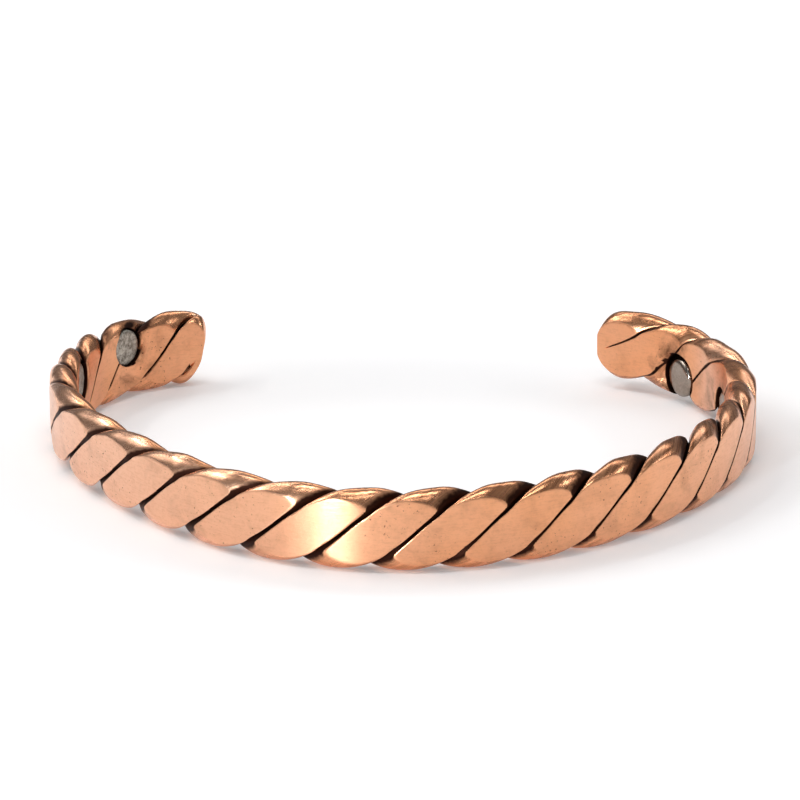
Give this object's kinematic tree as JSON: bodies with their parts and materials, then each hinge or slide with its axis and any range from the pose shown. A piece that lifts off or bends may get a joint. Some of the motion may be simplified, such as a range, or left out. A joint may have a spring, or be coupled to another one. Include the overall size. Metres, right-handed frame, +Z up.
{
  "type": "magnetic bracelet",
  "caption": "Open oval wrist cuff of twisted copper wires rolled flat, with soldered tips and small round magnets let into the inner face.",
  "frame": {"origin": "middle of the cuff's outline, on the surface that it lies on", "axes": "+X to the wearer's side across the wrist, +Y towards the mouth between the tips, +Z up along the height of the band"},
  "size_m": [0.0662, 0.055, 0.0075],
  "materials": {
    "copper": "polished copper with brown patina in the grooves",
    "magnet": "dull nickel plate"
  },
  "bodies": {
    "root": {"strand_1": "copper", "strand_2": "copper", "strand_3": "copper", "left_tip": "copper", "right_tip": "copper", "left_magnet_1": "magnet", "left_magnet_2": "magnet", "right_magnet_1": "magnet", "right_magnet_2": "magnet"}
  },
  "joints": []
}
